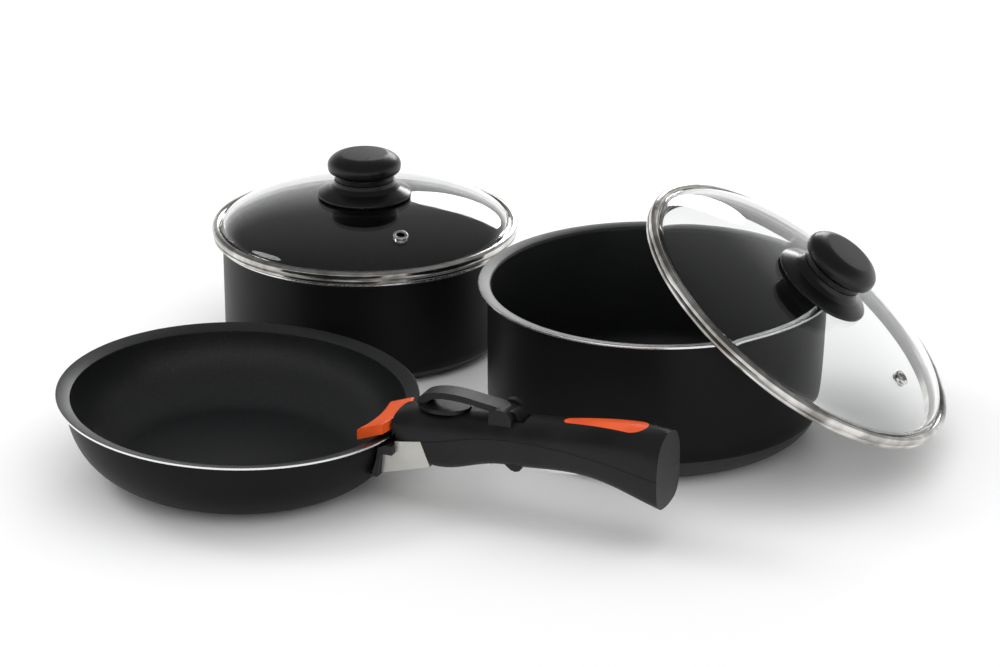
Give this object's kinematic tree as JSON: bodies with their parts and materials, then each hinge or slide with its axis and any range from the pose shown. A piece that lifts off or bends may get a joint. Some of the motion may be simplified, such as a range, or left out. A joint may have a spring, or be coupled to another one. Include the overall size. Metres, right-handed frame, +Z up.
{
  "type": "cooking pot set",
  "caption": "Nesting camping cookware: a shallow frying pan with a detachable clamp handle and two straight-sided pots with domed glass lids, one lid leaning on its pot.",
  "frame": {"origin": "centre of the large pot's base, on the surface that the set stands on", "axes": "+Z up, +X towards the leaning lid, +Y towards the small pot at the back"},
  "size_m": [0.4884, 0.4014, 0.1364],
  "materials": {
    "pot_coating": "non-stick coated aluminium, satin black",
    "pan_coating": "non-stick coated aluminium, satin dark grey",
    "grip_plastic": "soft-touch black",
    "orange_plastic": "satin orange",
    "bracket_steel": "satin",
    "black_rubber": "matt",
    "zinc_steel": "zinc plated",
    "spring_steel": "bright drawn",
    "stainless": "polished stainless steel",
    "clear_glass": "clear tempered glass",
    "phenolic": "satin black phenolic",
    "brass": "machined",
    "clear_silicone": "translucent"
  },
  "bodies": {
    "large_pot": {"large_pot": "pot_coating"},
    "small_pot": {"small_pot": "pot_coating"},
    "small_lid": {"small_lid_glass": "clear_glass", "small_lid_band": "stainless", "small_lid_knob_cap": "phenolic", "small_lid_knob_skirt": "phenolic", "small_lid_knob_insert": "brass", "small_lid_knob_screw": "zinc_steel", "small_lid_knob_washer": "zinc_steel", "small_lid_knob_gasket": "clear_silicone", "small_lid_vent_eyelet": "stainless"},
    "large_lid": {"large_lid_glass": "clear_glass", "large_lid_band": "stainless", "large_lid_knob_cap": "phenolic", "large_lid_knob_skirt": "phenolic", "large_lid_knob_insert": "brass", "large_lid_knob_screw": "zinc_steel", "large_lid_knob_washer": "zinc_steel", "large_lid_knob_gasket": "clear_silicone", "large_lid_vent_eyelet": "stainless"},
    "frying_pan": {"frying_pan": "pan_coating", "handle_upper_shell": "grip_plastic", "handle_lower_shell": "grip_plastic", "handle_inlay": "orange_plastic", "handle_chassis": "bracket_steel", "handle_outer_pad": "black_rubber", "handle_screws": "zinc_steel", "lever_pin": "zinc_steel", "trigger_pin": "zinc_steel", "jaw_spring": "spring_steel", "trigger_spring": "spring_steel"},
    "lever": {"lever": "grip_plastic"},
    "jaw": {"jaw_carriage": "bracket_steel", "jaw_cover": "orange_plastic"},
    "trigger": {"trigger": "stainless"}
  },
  "joints": [
    {"name": "small_pot_lift", "type": "slide", "parent": "large_pot", "child": "small_pot", "axis": [0, 0, 1], "range_m": [0, 0.1]},
    {"name": "frying_pan_lift", "type": "slide", "parent": "large_pot", "child": "frying_pan", "axis": [0, 0, 1], "range_m": [0, 0.1]},
    {"name": "small_lid_lift", "type": "slide", "parent": "small_pot", "child": "small_lid", "axis": [0, 0, 1], "range_m": [0, 0.06]},
    {"name": "large_lid_lift", "type": "slide", "parent": "large_pot", "child": "large_lid", "axis": [0, 0, 1], "range_m": [0, 0.06]},
    {"name": "lever_hinge", "type": "hinge", "parent": "frying_pan", "child": "lever", "pos_m": [-0.08292, -0.1262, 0.05735], "axis": [0.3987, 0.9171, 0], "range_deg": [0, 80]},
    {"name": "jaw_slide", "type": "slide", "parent": "frying_pan", "child": "jaw", "axis": [-0.9171, 0.3987, 0], "range_m": [0, 0.005], "deforming": ["jaw_spring"]},
    {"name": "trigger_hinge", "type": "hinge", "parent": "frying_pan", "child": "trigger", "pos_m": [-0.06962, -0.13198, 0.03625], "axis": [-0.3987, -0.9171, 0], "range_deg": [0, 4], "stiffness_Nm_per_rad": 0.05, "springref_deg": -5.73, "deforming": ["trigger_spring"]}
  ],
  "couplings": [
    {"joint": "jaw_slide", "follows": "lever_hinge", "m_per_rad": 0.003581}
  ]
}
